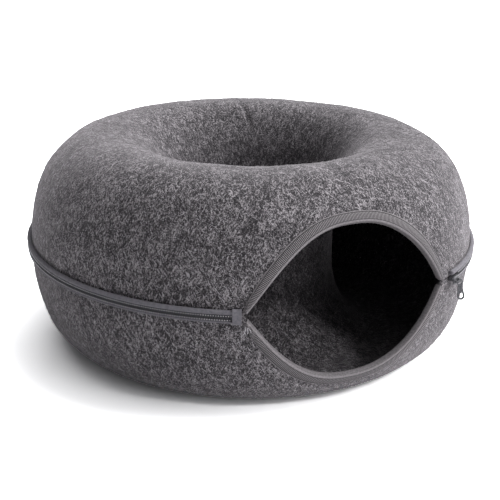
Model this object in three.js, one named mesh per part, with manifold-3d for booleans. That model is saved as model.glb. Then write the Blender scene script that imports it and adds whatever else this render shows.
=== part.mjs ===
// A felt cat cave: a hollow ring of moulded felt in two halves, joined round its widest line by a
// coil zip, with an eye-shaped entrance bound in ribbed tape.
//
// Millimetres, +Z up. The origin is on the floor, under the middle of the cave, and the entrance
// faces -Y. Angles are measured round the ring from the middle of the entrance, in degrees, and
// grow towards +X.

import * as THREE from 'three';
import { mergeVertices } from 'three/addons/utils/BufferGeometryUtils.js';
import Module from 'manifold-3d';

// The ring's section, on the outside of the felt.
const RING_RADIUS = 250;
const HEIGHT = 233;
const ZIP_HEIGHT = 114;
const CREST_RADIUS = 164;
const FOOT_OUTER_RADIUS = 178;
const FOOT_INNER_RADIUS = 150;
const HOLE_RADIUS = 91;
const THROAT_TOP = 136;
const THROAT_BOTTOM = 90;
const SEAM_HEIGHT = 127;
const UPPER_FULLNESS = 2.19;
const LOWER_FULLNESS = 2.48;
const HOLE_FULLNESS = 2.17;
const FELT_THICKNESS = 4;

// The gap kept between pieces that touch on the real thing.
const SEWN_GAP = 0.35;
const RIM_GAP = 0.5;
const SEAM_GAP = 0.15;

// The entrance. Its rise and dip are measured along the felt from the zip's line.
const DOOR_HALF_ANGLE = 26.5;
const DOOR_RISE = 84;
const DOOR_DIP = 77;
const DOOR_SQUARENESS = 2.4;
const DOOR_POINT = 1.15;

// The ribbed binding that is folded over the entrance's edge.
const BINDING_WIDTH = 10.5;
const BINDING_THICKNESS = 1.1;
const BINDING_ROUNDING = 0.45;
const BINDING_HALF_ANGLE = 26.8;
const BINDING_POINT = 0.85;

// The zip: a coil between two folded tapes, each a band round the ring.
const COIL_HALF_WIDTH = 2.6;
const COIL_THICKNESS = 4.6;
const COIL_BEVEL = 0.8;
const TAPE_START = 2.95;
const UPPER_TAPE_END = 7.4;
const LOWER_TAPE_END = 5.6;
const UPPER_TAPE_THICKNESS = 4.9;
const LOWER_TAPE_THICKNESS = 4.3;
const TAPE_ROUNDING = 0.25;
const ZIP_START_ANGLE = 29.6;
const ZIP_END_ANGLE = 332.9;

// The tab that is folded over the zip's end.
const TAB_START_ANGLE = 330.9;
const TAB_END_ANGLE = 333.3;
const TAB_THICKNESS = 1;

// The slider, its bridge and its pull.
const SLIDER_ANGLE = 31.5;
const SLIDER_LENGTH = 13;
const SLIDER_WIDTH = 9;
const NECK_LENGTH = 11;
const NECK_WIDTH = 4.6;
const PLATE_BASE = 5.65;
const PLATE_THICKNESS = 1.6;
const BRIDGE_HALF_LENGTH = 5.2;
const BRIDGE_WIDTH = 2.4;
const BRIDGE_WIRE = 1.6;
const BRIDGE_TOP = 11.4;
const PULL_THICKNESS = 1.4;
const PULL_TOP_HALF_WIDTH = 3;
const PULL_NECK_HALF_WIDTH = 2.5;
const PULL_END_RADIUS = 3.6;
const PULL_DROP = 21.5;
const PULL_TURN = 30;
const EYE_HALF_WIDTH = 2.2;
const EYE_HEIGHT = 5;
const EYE_WALL = 1.3;
const SLOT_RADIUS = 1.95;
const SLOT_LENGTH = 2.2;

// How finely the felt is divided. The columns crowd together at the entrance's corners.
const DOOR_COLUMNS = 28;
const WALL_COLUMNS = 60;
const COLUMNS = DOOR_COLUMNS + WALL_COLUMNS;
const CROWDING = 1.25;
const RIM_ROWS = 2;
const BLANK_RADIUS = 1000;
const CURVE_STEPS = 5;

const FULL_TURN = 360;
const MERGE_DISTANCE = 1e-4;

const felt = new THREE.MeshStandardMaterial({ color: 0x58565a, roughness: 0.96, metalness: 0 });
const ribbedTape = new THREE.MeshStandardMaterial({ color: 0x6b666a, roughness: 0.85, metalness: 0 });
const zipTape = new THREE.MeshStandardMaterial({ color: 0x504f55, roughness: 0.8, metalness: 0 });
const coilNylon = new THREE.MeshStandardMaterial({ color: 0x3c3b40, roughness: 0.6, metalness: 0 });
const darkMetal = new THREE.MeshStandardMaterial({ color: 0x6a6a70, roughness: 0.35, metalness: 0.9 });

const wasm = await Module();
wasm.setup();

// A quarter of a rounded oval in the section's plane, x outwards and y up. A fullness of 2 is an
// ellipse, and more is squarer.
class RoundedQuarter extends THREE.Curve {
  constructor(centre, reach, fullness, fromSide) {
    super();
    this.centre = centre;
    this.reach = reach;
    this.power = 2 / fullness;
    this.fromSide = fromSide;
  }

  getPoint(t, target = new THREE.Vector2()) {
    const turn = (this.fromSide ? t : 1 - t) * Math.PI / 2;
    const across = Math.max(Math.cos(turn), 0) ** this.power;
    const up = Math.max(Math.sin(turn), 0) ** this.power;
    return target.set(this.centre.x + this.reach.x * across, this.centre.y + this.reach.y * up);
  }
}

function sectionLine(...curves) {
  const line = new THREE.CurvePath();
  curves.forEach((curve) => line.add(curve));
  return line;
}

const vector = (x, y) => new THREE.Vector2(x, y);

// The upper half's line goes from the zip over the crest and down the hole to the seam.
function upperHalf() {
  const wall = new RoundedQuarter(
    vector(CREST_RADIUS, ZIP_HEIGHT),
    vector(RING_RADIUS - CREST_RADIUS, HEIGHT - ZIP_HEIGHT),
    UPPER_FULLNESS,
    true,
  );
  const drop = new RoundedQuarter(
    vector(CREST_RADIUS, THROAT_TOP),
    vector(HOLE_RADIUS - CREST_RADIUS, HEIGHT - THROAT_TOP),
    HOLE_FULLNESS,
    false,
  );
  const throat = new THREE.LineCurve(
    vector(HOLE_RADIUS, THROAT_TOP),
    vector(HOLE_RADIUS, SEAM_HEIGHT + SEAM_GAP),
  );
  const line = sectionLine(wall, drop, throat);
  const stretches = [{ end: line.getLength(), rows: 13 }];
  return { line, stretches, outward: 1, doorReach: DOOR_RISE };
}

// The lower half's line goes from the zip down to the flat foot and up the hole to the seam.
function lowerHalf() {
  const wall = new RoundedQuarter(
    vector(FOOT_OUTER_RADIUS, ZIP_HEIGHT),
    vector(RING_RADIUS - FOOT_OUTER_RADIUS, -ZIP_HEIGHT),
    LOWER_FULLNESS,
    true,
  );
  const foot = new THREE.LineCurve(vector(FOOT_OUTER_RADIUS, 0), vector(FOOT_INNER_RADIUS, 0));
  const rise = new RoundedQuarter(
    vector(FOOT_INNER_RADIUS, THROAT_BOTTOM),
    vector(HOLE_RADIUS - FOOT_INNER_RADIUS, -THROAT_BOTTOM),
    HOLE_FULLNESS,
    false,
  );
  const throat = new THREE.LineCurve(
    vector(HOLE_RADIUS, THROAT_BOTTOM),
    vector(HOLE_RADIUS, SEAM_HEIGHT - SEAM_GAP),
  );
  const line = sectionLine(wall, foot, rise, throat);
  const wallEnd = wall.getLength();
  const footEnd = wallEnd + foot.getLength();
  const stretches = [
    { end: wallEnd, rows: 6 },
    { end: footEnd, rows: 1 },
    { end: line.getLength(), rows: 5 },
  ];
  return { line, stretches, outward: -1, doorReach: DOOR_DIP };
}

// One half of the entrance's outline, from 1 in its middle to 0 at its corner.
function lens(angle, halfAngle, point) {
  const share = Math.min(Math.abs(angle) / halfAngle, 1);
  return (1 - share ** DOOR_SQUARENESS) ** point;
}

// The angle from the middle of the entrance, between -180 and 180.
function fromDoor(angle) {
  return angle > FULL_TURN / 2 ? angle - FULL_TURN : angle;
}

// How far the felt's edge lies from the zip's line.
function edgeRun(half, angle) {
  return RIM_GAP + half.doorReach * lens(fromDoor(angle), DOOR_HALF_ANGLE, DOOR_POINT);
}

// How far the binding's stitched edge lies from the zip's line.
function bindingRun(half, angle) {
  const reach = half.doorReach + BINDING_WIDTH;
  return reach * lens(fromDoor(angle), BINDING_HALF_ANGLE, BINDING_POINT);
}

// How much longer a width across the sloping edge is when it is measured straight up or down.
function edgeStretch(half, angle) {
  const step = 0.1;
  const rise = edgeRun(half, angle + step) - edgeRun(half, angle - step);
  const arc = THREE.MathUtils.degToRad(2 * step) * RING_RADIUS;
  return Math.hypot(1, rise / arc);
}

// The felt's rows keep to the binding, or to the zip's tape where there is no binding, and then
// spread evenly over the rest of the half.
function rowRun(half, angle, row) {
  const edge = edgeRun(half, angle);
  const band = Math.max(bindingRun(half, angle) - edge, UPPER_TAPE_END + SEWN_GAP);
  if (row <= RIM_ROWS) return edge + band * row / RIM_ROWS;
  let from = edge + band;
  let rowsLeft = row - RIM_ROWS;
  for (const stretch of half.stretches) {
    if (rowsLeft <= stretch.rows) {
      return THREE.MathUtils.lerp(from, stretch.end, rowsLeft / stretch.rows);
    }
    from = stretch.end;
    rowsLeft -= stretch.rows;
  }
  return from;
}

function columnAngle(column) {
  if (column > DOOR_COLUMNS) {
    const share = (column - DOOR_COLUMNS) / WALL_COLUMNS;
    return DOOR_HALF_ANGLE + share * (FULL_TURN - 2 * DOOR_HALF_ANGLE);
  }
  const side = 2 * column / DOOR_COLUMNS - 1;
  return DOOR_HALF_ANGLE * Math.sin(CROWDING * side) / Math.sin(CROWDING);
}

function roundRing(angle, radius, height) {
  const turn = THREE.MathUtils.degToRad(angle);
  return new THREE.Vector3(radius * Math.sin(turn), -radius * Math.cos(turn), height);
}

// A point at a run along the felt and a height above its outside.
function onFelt(half, angle, run, height) {
  const share = run / half.line.getLength();
  const point = half.line.getPoint(share);
  const along = half.line.getTangent(share);
  const lift = half.outward * height;
  return roundRing(angle, point.x + along.y * lift, point.y - along.x * lift);
}

// A point on the upright stretch of felt beside the zip, by its height above the zip's line.
function onZip(angle, up, height) {
  return roundRing(angle, RING_RADIUS + height, ZIP_HEIGHT + up);
}

function enclosedVolume(geometry) {
  const corners = [new THREE.Vector3(), new THREE.Vector3(), new THREE.Vector3()];
  const { index } = geometry;
  const { position } = geometry.attributes;
  let volume = 0;
  for (let first = 0; first < index.count; first += 3) {
    corners.forEach((corner, i) => corner.fromBufferAttribute(position, index.getX(first + i)));
    volume += corners[0].dot(corners[1].cross(corners[2])) / 6;
  }
  return volume;
}

function turnOver(geometry) {
  const { index } = geometry;
  for (let first = 0; first < index.count; first += 3) {
    const second = index.getX(first + 1);
    index.setX(first + 1, index.getX(first + 2));
    index.setX(first + 2, second);
  }
}

function weld(geometry) {
  geometry.deleteAttribute('normal');
  geometry.deleteAttribute('uv');
  return mergeVertices(geometry, MERGE_DISTANCE);
}

// Lays each point of a flat blank in its place on the ring. Laying can mirror the blank, and its
// faces are then turned over, so that they point out again.
function lay(blank, place) {
  const { position } = blank.attributes;
  const flat = new THREE.Vector3();
  for (let i = 0; i < position.count; i += 1) {
    const laid = place(flat.fromBufferAttribute(position, i));
    position.setXYZ(i, laid.x, laid.y, laid.z);
  }
  const geometry = weld(blank);
  if (enclosedVolume(geometry) < 0) turnOver(geometry);
  geometry.computeVertexNormals();
  return geometry;
}

// A half of the ring is a sleeve of felt, one row of the blank for each row of the felt, moulded
// on to the half's line.
function mouldedShell(half) {
  const lastRow = RIM_ROWS + half.stretches.reduce((sum, stretch) => sum + stretch.rows, 0);
  const outside = [];
  const inside = [];
  for (let row = 0; row <= lastRow; row += 1) {
    outside.push(vector(BLANK_RADIUS, row));
    inside.unshift(vector(BLANK_RADIUS - FELT_THICKNESS, row));
  }
  const section = [...outside, ...inside, outside[0]];
  const sleeve = new THREE.LatheGeometry(section, COLUMNS);
  return lay(sleeve, (flat) => {
    const turns = Math.atan2(flat.x, flat.z) / (2 * Math.PI);
    const column = (Math.round(turns * COLUMNS) + COLUMNS) % COLUMNS;
    const angle = columnAngle(column);
    const height = Math.hypot(flat.x, flat.z) - BLANK_RADIUS;
    return onFelt(half, angle, rowRun(half, angle, Math.round(flat.y)), height);
  });
}

// A straight strip with the given section, one step for each stretch between two angles, laid
// round the ring.
function laidStrip(section, angles, place) {
  const shape = new THREE.Shape(section);
  const steps = angles.length - 1;
  const strip = new THREE.ExtrudeGeometry(shape, { depth: steps, steps, bevelEnabled: false });
  return lay(strip, (flat) => place(angles[Math.round(flat.z)], flat.x, flat.y));
}

// The felt's own column angles that lie between two angles, with the two angles at the ends.
function anglesBetween(start, end) {
  const between = [];
  for (let column = 0; column < COLUMNS; column += 1) {
    const angle = columnAngle(column);
    if (angle > start && angle < end) between.push(angle);
  }
  return [start, ...between, end];
}

// The binding is folded over the felt's edge, with one leg outside and one inside. In its section
// x goes from 0 at the felt's edge to 1 at the stitched edge, and less than 0 is a distance in
// millimetres past the felt's edge. y is the height above the felt's outside.
function foldedBinding(half) {
  const outside = SEWN_GAP + BINDING_THICKNESS;
  const under = -FELT_THICKNESS - SEWN_GAP;
  const inside = under - BINDING_THICKNESS;
  const section = [
    vector(1, SEWN_GAP),
    vector(1, outside),
    vector(0.5, outside),
    vector(0, outside),
    vector(BINDING_ROUNDING - outside, outside - BINDING_ROUNDING),
    vector(-outside, 0),
    vector(-outside, -FELT_THICKNESS),
    vector(BINDING_ROUNDING - outside, inside + BINDING_ROUNDING),
    vector(0, inside),
    vector(0.5, inside),
    vector(1, inside),
    vector(1, under),
    vector(0.5, under),
    vector(-SEWN_GAP, under),
    vector(-SEWN_GAP, SEWN_GAP),
    vector(0.5, SEWN_GAP),
  ];
  const angles = [];
  for (let column = 1; column < DOOR_COLUMNS; column += 1) angles.push(columnAngle(column));
  return laidStrip(section, angles, (angle, x, height) => {
    const edge = edgeRun(half, angle);
    const width = bindingRun(half, angle) - edge;
    const run = edge + x * (x < 0 ? edgeStretch(half, angle) : width);
    return onFelt(half, angle, run, height);
  });
}

// A folded tape is flat against the felt and rounded outside. Up is 1 for the upper tape and -1
// for the lower one.
function foldedTape(up, end, thickness) {
  const top = SEWN_GAP + thickness;
  const middle = (TAPE_START + end) / 2;
  const rounding = TAPE_ROUNDING * (end - TAPE_START);
  const section = [
    vector(TAPE_START, SEWN_GAP),
    vector(end, SEWN_GAP),
    vector(end, top - 2 * rounding),
    vector(end - rounding, top - rounding / 2),
    vector(middle, top),
    vector(TAPE_START, top - rounding),
  ];
  const angles = anglesBetween(ZIP_START_ANGLE, ZIP_END_ANGLE);
  return laidStrip(section, angles, (angle, x, height) => onZip(angle, up * x, height));
}

// The coil starts behind the slider, which closes it.
function coil() {
  const top = SEWN_GAP + COIL_THICKNESS;
  const section = [
    vector(-COIL_HALF_WIDTH, SEWN_GAP),
    vector(COIL_HALF_WIDTH, SEWN_GAP),
    vector(COIL_HALF_WIDTH, top - COIL_BEVEL),
    vector(COIL_HALF_WIDTH - COIL_BEVEL, top),
    vector(COIL_BEVEL - COIL_HALF_WIDTH, top),
    vector(-COIL_HALF_WIDTH, top - COIL_BEVEL),
  ];
  const clearance = NECK_LENGTH / 2 + SEWN_GAP;
  const start = SLIDER_ANGLE + THREE.MathUtils.radToDeg(clearance / RING_RADIUS);
  return laidStrip(section, anglesBetween(start, ZIP_END_ANGLE), onZip);
}

// The end tab goes over both tapes and down to the felt on each side of them.
function endTab() {
  const ceiling = UPPER_TAPE_THICKNESS + 2 * SEWN_GAP;
  const top = ceiling + TAB_THICKNESS;
  const upperLeg = UPPER_TAPE_END + SEWN_GAP;
  const lowerLeg = -LOWER_TAPE_END - SEWN_GAP;
  const section = [
    vector(upperLeg, SEWN_GAP),
    vector(upperLeg + TAB_THICKNESS, SEWN_GAP),
    vector(upperLeg + TAB_THICKNESS, ceiling),
    vector(upperLeg, top),
    vector(lowerLeg, top),
    vector(lowerLeg - TAB_THICKNESS, ceiling),
    vector(lowerLeg - TAB_THICKNESS, SEWN_GAP),
    vector(lowerLeg, SEWN_GAP),
    vector(lowerLeg, ceiling),
    vector(upperLeg, ceiling),
  ];
  const middle = (TAB_START_ANGLE + TAB_END_ANGLE) / 2;
  return laidStrip(section, [TAB_START_ANGLE, middle, TAB_END_ANGLE], onZip);
}

function toSolid(geometry) {
  const closed = weld(geometry.index ? geometry.toNonIndexed() : geometry);
  return new wasm.Manifold(new wasm.Mesh({
    numProp: 3,
    vertProperties: new Float32Array(closed.attributes.position.array),
    triVerts: new Uint32Array(closed.index.array),
  }));
}

function toGeometry(solid) {
  const mesh = solid.getMesh();
  const geometry = new THREE.BufferGeometry();
  geometry.setAttribute('position', new THREE.BufferAttribute(mesh.vertProperties, 3));
  geometry.setIndex(new THREE.BufferAttribute(mesh.triVerts, 1));
  geometry.computeVertexNormals();
  return geometry;
}

// The slider and the pull are made in the slider's own frame: x along the zip, y up and z out
// from the felt.
function sliderPlate() {
  const halfLength = SLIDER_LENGTH / 2;
  const halfWidth = SLIDER_WIDTH / 2;
  const outline = new THREE.Shape();
  outline.moveTo(-halfLength, -halfWidth / 2);
  outline.quadraticCurveTo(-halfLength / 2, -halfWidth, 0, -halfWidth);
  outline.quadraticCurveTo(halfLength, -halfWidth, halfLength, 0);
  outline.quadraticCurveTo(halfLength, halfWidth, 0, halfWidth);
  outline.quadraticCurveTo(-halfLength / 2, halfWidth, -halfLength, halfWidth / 2);
  outline.closePath();
  const plate = new THREE.ExtrudeGeometry(outline, {
    depth: PLATE_THICKNESS,
    bevelEnabled: false,
    curveSegments: CURVE_STEPS,
  });
  return plate.translate(0, 0, PLATE_BASE);
}

function sliderNeck() {
  const overlap = PLATE_THICKNESS / 2;
  const height = PLATE_BASE + overlap - SEWN_GAP;
  const neck = new THREE.BoxGeometry(NECK_LENGTH, NECK_WIDTH, height);
  return neck.translate(0, 0, SEWN_GAP + height / 2);
}

function sliderBridge() {
  const foot = PLATE_BASE + PLATE_THICKNESS / 2;
  const shoulder = BRIDGE_TOP - BRIDGE_WIRE;
  const inner = BRIDGE_HALF_LENGTH - BRIDGE_WIRE;
  const arch = new THREE.Shape([
    vector(-BRIDGE_HALF_LENGTH, foot),
    vector(-inner, foot),
    vector(-inner, shoulder),
    vector(inner, shoulder),
    vector(inner, foot),
    vector(BRIDGE_HALF_LENGTH, foot),
    vector(BRIDGE_HALF_LENGTH, shoulder),
    vector(inner, BRIDGE_TOP),
    vector(-inner, BRIDGE_TOP),
    vector(-BRIDGE_HALF_LENGTH, shoulder),
  ]);
  const bridge = new THREE.ExtrudeGeometry(arch, { depth: BRIDGE_WIDTH, bevelEnabled: false });
  return bridge.translate(0, 0, -BRIDGE_WIDTH / 2).rotateX(Math.PI / 2);
}

function castSlider() {
  const parts = [sliderPlate(), sliderNeck(), sliderBridge()].map(toSolid);
  return toGeometry(parts[0].add(parts[1]).add(parts[2]));
}

// A stadium-shaped path, for the eye and the slot.
function stadium(halfWidth, bottom, top) {
  const path = new THREE.Path();
  path.absarc(0, bottom + halfWidth, halfWidth, Math.PI, 2 * Math.PI);
  path.absarc(0, top - halfWidth, halfWidth, 0, Math.PI);
  path.closePath();
  return path;
}

// The pull hangs with the bridge through its eye, so the eye's top rests on the bridge.
function hangingPull() {
  const eyeTop = BRIDGE_WIDTH / 2 + SEWN_GAP;
  const top = eyeTop + EYE_WALL;
  const endCentre = PULL_END_RADIUS - PULL_DROP;
  const neck = eyeTop - EYE_HEIGHT - EYE_WALL;
  const outline = new THREE.Shape();
  outline.moveTo(PULL_TOP_HALF_WIDTH, eyeTop - EYE_HALF_WIDTH);
  outline.quadraticCurveTo(PULL_TOP_HALF_WIDTH, top, 0, top);
  outline.quadraticCurveTo(-PULL_TOP_HALF_WIDTH, top, -PULL_TOP_HALF_WIDTH, eyeTop - EYE_HALF_WIDTH);
  outline.lineTo(-PULL_NECK_HALF_WIDTH, neck);
  outline.absarc(0, endCentre, PULL_END_RADIUS, Math.PI, 2 * Math.PI);
  outline.lineTo(PULL_NECK_HALF_WIDTH, neck);
  outline.closePath();
  const slotBottom = endCentre - SLOT_RADIUS;
  outline.holes.push(stadium(EYE_HALF_WIDTH, eyeTop - EYE_HEIGHT, eyeTop));
  outline.holes.push(stadium(SLOT_RADIUS, slotBottom, slotBottom + SLOT_LENGTH + 2 * SLOT_RADIUS));
  const pull = new THREE.ExtrudeGeometry(outline, {
    depth: PULL_THICKNESS,
    bevelEnabled: false,
    curveSegments: CURVE_STEPS,
  });
  const faceTurn = Math.PI / 2 + THREE.MathUtils.degToRad(PULL_TURN);
  return weld(pull)
    .translate(0, 0, -PULL_THICKNESS / 2)
    .rotateY(faceTurn)
    .translate(0, 0, BRIDGE_TOP - BRIDGE_WIRE / 2);
}

function addPiece(parent, name, geometry, material) {
  const mesh = new THREE.Mesh(geometry, material.clone());
  mesh.name = name;
  parent.add(mesh);
}

// Stands a group on the zip's line with its z out from the felt.
function seatOnZip(parent, angle) {
  const turned = new THREE.Group();
  turned.rotation.z = THREE.MathUtils.degToRad(angle);
  parent.add(turned);
  const seat = new THREE.Group();
  seat.position.set(0, -RING_RADIUS, ZIP_HEIGHT);
  seat.rotation.x = Math.PI / 2;
  turned.add(seat);
  return seat;
}

function catCave() {
  const cave = new THREE.Group();
  const upper = upperHalf();
  const lower = lowerHalf();
  addPiece(cave, 'upper_shell', mouldedShell(upper), felt);
  addPiece(cave, 'lower_shell', mouldedShell(lower), felt);
  addPiece(cave, 'upper_binding', foldedBinding(upper), ribbedTape);
  addPiece(cave, 'lower_binding', foldedBinding(lower), ribbedTape);
  addPiece(cave, 'zip_tape_upper', foldedTape(1, UPPER_TAPE_END, UPPER_TAPE_THICKNESS), zipTape);
  addPiece(cave, 'zip_tape_lower', foldedTape(-1, LOWER_TAPE_END, LOWER_TAPE_THICKNESS), zipTape);
  addPiece(cave, 'zip_chain', coil(), coilNylon);
  addPiece(cave, 'zip_end_tab', endTab(), zipTape);
  const seat = seatOnZip(cave, SLIDER_ANGLE);
  addPiece(seat, 'slider', castSlider(), darkMetal);
  addPiece(seat, 'pull_tab', hangingPull(), darkMetal);
  return cave;
}

// The entrance has no zip in front of it, so the ring stands a little forward of the origin to
// put the origin under the middle of the whole.
const cave = catCave();
const bounds = new THREE.Box3().setFromObject(cave, true);
cave.position.y = -(bounds.min.y + bounds.max.y) / 2;

export default cave;
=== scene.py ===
import math
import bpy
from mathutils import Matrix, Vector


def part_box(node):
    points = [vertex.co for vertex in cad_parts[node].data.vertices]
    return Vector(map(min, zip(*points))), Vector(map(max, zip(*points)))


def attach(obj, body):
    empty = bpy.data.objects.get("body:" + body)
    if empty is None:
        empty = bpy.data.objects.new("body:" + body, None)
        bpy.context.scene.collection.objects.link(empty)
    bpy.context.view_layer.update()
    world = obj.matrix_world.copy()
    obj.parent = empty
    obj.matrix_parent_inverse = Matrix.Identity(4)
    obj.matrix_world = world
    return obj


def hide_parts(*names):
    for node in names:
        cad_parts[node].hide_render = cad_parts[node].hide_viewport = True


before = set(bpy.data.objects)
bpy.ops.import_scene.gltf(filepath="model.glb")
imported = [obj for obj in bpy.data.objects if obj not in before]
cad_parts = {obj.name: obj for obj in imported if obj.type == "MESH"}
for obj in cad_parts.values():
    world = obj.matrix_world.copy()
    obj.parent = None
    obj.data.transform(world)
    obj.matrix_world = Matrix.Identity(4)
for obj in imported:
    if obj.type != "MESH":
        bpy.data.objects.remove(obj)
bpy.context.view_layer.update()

from types import SimpleNamespace

import bmesh
import bpy
import numpy as np
from mathutils import Matrix, Quaternion, Vector, noise

# ---------------------------------------------------------------------------------------------
# The camera stands to the left of the entrance and looks down on the cave a little. It is aimed
# at the middle of the ring, and the shift places the ring within the frame.

RING_RADIUS = 0.25
AIM_HEIGHT = 0.1147
CAMERA_AZIMUTH = -25
CAMERA_ELEVATION = 19.2
CAMERA_DISTANCE = 1.167
CAMERA_ROLL = math.radians(0.655)
CAMERA_SENSOR = 36
CAMERA_LENS = 71.93
CAMERA_SHIFT = (-0.0017, -0.0435)

ring_middle = Vector((0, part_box("upper_shell")[1].y - RING_RADIUS, AIM_HEIGHT))


def toward(azimuth, elevation):
    """The direction from the cave at an azimuth from its front, which grows towards +X."""
    turn, rise = math.radians(azimuth), math.radians(elevation)
    return Vector((
        math.sin(turn) * math.cos(rise), -math.cos(turn) * math.cos(rise), math.sin(rise),
    ))


def in_scene(name, data):
    made = bpy.data.objects.new(name, data)
    bpy.context.scene.collection.objects.link(made)
    return made


camera = in_scene("camera", bpy.data.cameras.new("camera"))
away = toward(CAMERA_AZIMUTH, CAMERA_ELEVATION)
camera.location = ring_middle + away * CAMERA_DISTANCE
camera.rotation_mode = "QUATERNION"
camera.rotation_quaternion = away.to_track_quat("Z", "Y") @ Quaternion((0, 0, 1), CAMERA_ROLL)
camera.data.sensor_width = CAMERA_SENSOR
camera.data.lens = CAMERA_LENS
camera.data.shift_x, camera.data.shift_y = CAMERA_SHIFT
bpy.context.scene.camera = camera

# ---------------------------------------------------------------------------------------------
# A plain pale floor with soft studio light: large soft lamps, mostly from the right, and a narrow
# lamp that reaches in through the entrance. The camera sees the floor and the backdrop as nearly
# white, while the light that they cast on the cave is that of a plain pale floor in a dim room.

FLOOR_SIZE = 16
FLOOR_DEPTH = 0.0005
FLOOR_SHADE = (2.0, 2.0, 2.02, 1)
FLOOR_HAZE = 0.015
FLOOR_BOUNCE = (0.78, 0.78, 0.79, 1)
LAMP_SOFTNESS = math.radians(58)
LAMPS = [
    # name, azimuth, elevation, strength
    ("key", 90, 50, 3.4),
    ("fill", 50, 22, 1.8),
    ("side", 95, 10, 0.6),
    ("back", 138, 25, 2.1),
    ("top", 180, 75, 1.0),
    ("front", 0, 60, 0.45),
    ("low", -20, 12, 0.1),
]
DOOR_LAMP_AZIMUTH = 18
DOOR_LAMP_ELEVATION = 43
DOOR_LAMP_POWER = 48
DOOR_LAMP_CONE = math.radians(9)
DOOR_LAMP_BLEND = 0.7
DOOR_LAMP_SIZE = 0.12
DOOR_LAMP_AIM = Vector((0, ring_middle.y - 0.23, 0.098))
SURROUND = (0.9, 0.93, 1.0, 1)
SURROUND_STRENGTH = 0.03
BACKDROP = (1.0, 1.0, 1.0, 1)

bm = bmesh.new()
bmesh.ops.create_grid(bm, x_segments=1, y_segments=1, size=FLOOR_SIZE / 2)
bmesh.ops.translate(bm, verts=bm.verts, vec=(0, 0, -FLOOR_DEPTH))
floor_mesh = bpy.data.meshes.new("floor")
bm.to_mesh(floor_mesh)
bm.free()
floor = in_scene("floor", floor_mesh)
floor_paint = bpy.data.materials.new("floor")
floor_paint.use_nodes = True
floor_nodes = floor_paint.node_tree.nodes
floor_links = floor_paint.node_tree.links
floor_nodes.remove(floor_nodes["Principled BSDF"])
floor_mix = floor_nodes.new("ShaderNodeMixShader")
bounced = floor_nodes.new("ShaderNodeBsdfDiffuse")
bounced.inputs["Color"].default_value = FLOOR_BOUNCE
seen = floor_nodes.new("ShaderNodeBsdfDiffuse")
seen.inputs["Color"].default_value = FLOOR_SHADE
haze = floor_nodes.new("ShaderNodeEmission")
haze.inputs["Strength"].default_value = FLOOR_HAZE
hazed = floor_nodes.new("ShaderNodeAddShader")
floor_links.new(seen.outputs[0], hazed.inputs[0])
floor_links.new(haze.outputs[0], hazed.inputs[1])
floor_links.new(bounced.outputs[0], floor_mix.inputs[1])
floor_links.new(hazed.outputs[0], floor_mix.inputs[2])
floor_links.new(floor_nodes.new("ShaderNodeLightPath").outputs["Is Camera Ray"], floor_mix.inputs[0])
floor_links.new(floor_mix.outputs[0], floor_nodes["Material Output"].inputs["Surface"])
floor_mesh.materials.append(floor_paint)

for name, azimuth, elevation, strength in LAMPS:
    lamp = in_scene(name, bpy.data.lights.new(name, "SUN"))
    lamp.data.energy = strength
    lamp.data.angle = LAMP_SOFTNESS
    lamp.rotation_mode = "QUATERNION"
    lamp.rotation_quaternion = toward(azimuth, elevation).to_track_quat("Z", "Y")

door_lamp = in_scene("door lamp", bpy.data.lights.new("door lamp", "SPOT"))
door_lamp.data.energy = DOOR_LAMP_POWER
door_lamp.data.spot_size = DOOR_LAMP_CONE
door_lamp.data.spot_blend = DOOR_LAMP_BLEND
door_lamp.data.shadow_soft_size = DOOR_LAMP_SIZE
toward_lamp = toward(DOOR_LAMP_AZIMUTH, DOOR_LAMP_ELEVATION)
door_lamp.location = DOOR_LAMP_AIM + toward_lamp
door_lamp.rotation_mode = "QUATERNION"
door_lamp.rotation_quaternion = toward_lamp.to_track_quat("Z", "Y")

surround = bpy.data.worlds.new("surround")
surround.use_nodes = True
sky_nodes = surround.node_tree.nodes
sky_links = surround.node_tree.links
sky_nodes["Background"].inputs["Color"].default_value = SURROUND
sky_nodes["Background"].inputs["Strength"].default_value = SURROUND_STRENGTH
backdrop = sky_nodes.new("ShaderNodeBackground")
backdrop.inputs["Color"].default_value = BACKDROP
sky_mix = sky_nodes.new("ShaderNodeMixShader")
sky_links.new(sky_nodes.new("ShaderNodeLightPath").outputs["Is Camera Ray"], sky_mix.inputs[0])
sky_links.new(sky_nodes["Background"].outputs[0], sky_mix.inputs[1])
sky_links.new(backdrop.outputs[0], sky_mix.inputs[2])
sky_links.new(sky_mix.outputs[0], sky_nodes["World Output"].inputs["Surface"])
bpy.context.scene.world = surround
bpy.context.scene.view_settings.view_transform = "Standard"

# ---------------------------------------------------------------------------------------------
# The two felt halves. Each is one piece of 4 mm needled polyester felt, pressed over a form into
# half of the ring, with its half of the entrance cut out of the rim at the zip.

HEIGHT = 0.233
ZIP_HEIGHT = 0.114
CREST_RADIUS = 0.164
FOOT_OUTER_RADIUS = 0.178
FOOT_INNER_RADIUS = 0.15
HOLE_RADIUS = 0.091
THROAT_TOP = 0.136
THROAT_BOTTOM = 0.09
SEAM_HEIGHT = 0.127
SEAM_GAP = 0.00015
UPPER_FULLNESS = 2.19
LOWER_FULLNESS = 2.48
HOLE_FULLNESS = 2.17
FELT_THICKNESS = 0.004
RIM_GAP = 0.0005

DOOR_HALF_ANGLE = 26.5
DOOR_RISE = 0.084
DOOR_DIP = 0.077
DOOR_SQUARENESS = 2.4
DOOR_POINT = 1.15

DOOR_COLUMNS = 100
WALL_COLUMNS = 310
FELT_ROWS = 72
CROWDING = 1.25
QUARTER_STEPS = 400


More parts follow.
